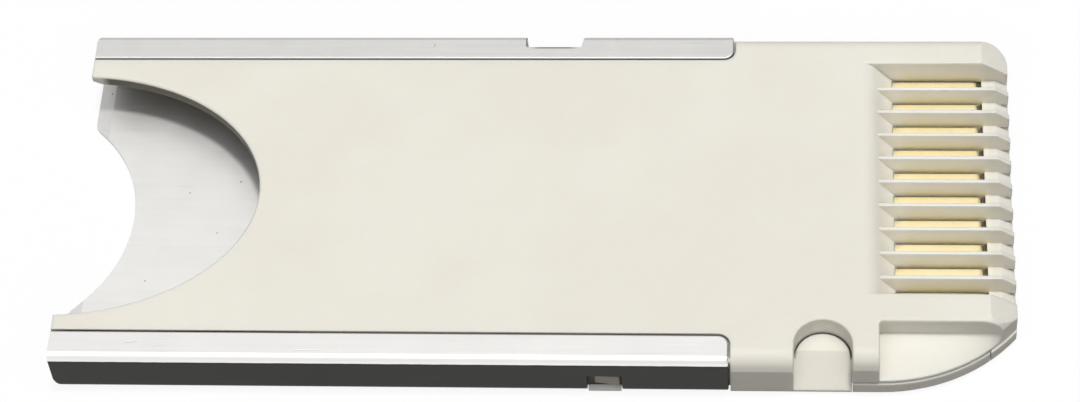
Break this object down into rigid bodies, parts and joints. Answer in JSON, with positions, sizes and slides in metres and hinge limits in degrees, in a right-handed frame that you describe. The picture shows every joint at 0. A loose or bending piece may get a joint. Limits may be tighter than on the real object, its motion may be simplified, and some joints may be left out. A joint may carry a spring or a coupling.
{
  "type": "memory card adapter",
  "caption": "Flat adapter that carries a smaller memory card: moulded housing with an end slot and finger cut-out, folded metal cover, and sprung contacts recessed at the other end.",
  "frame": {"origin": "centre of the label face, which is the lowest face", "axes": "+X from the card slot towards the contacts, +Y towards the side with the plain notch, +Z from the label face up to the contact face"},
  "size_m": [0.05, 0.0216, 0.0028],
  "materials": {
    "housing_plastic": "ivory moulded plastic with a fine matte grain",
    "plate_plastic": "ivory moulded plastic with a fine matte grain",
    "cover_steel": "thin steel sheet, bare and satin on the lips, dark coated on the side walls and label face",
    "spring_steel": "bare spring steel strip",
    "contact_gold": "gold plated copper alloy strip"
  },
  "bodies": {
    "root": {"base_housing": "housing_plastic", "back_plate": "plate_plastic", "metal_cover": "cover_steel", "card_spring": "spring_steel", "contact_01": "contact_gold", "contact_02": "contact_gold", "contact_03": "contact_gold", "contact_04": "contact_gold", "contact_05": "contact_gold", "contact_06": "contact_gold", "contact_07": "contact_gold", "contact_08": "contact_gold", "contact_09": "contact_gold", "contact_10": "contact_gold"}
  },
  "joints": []
}
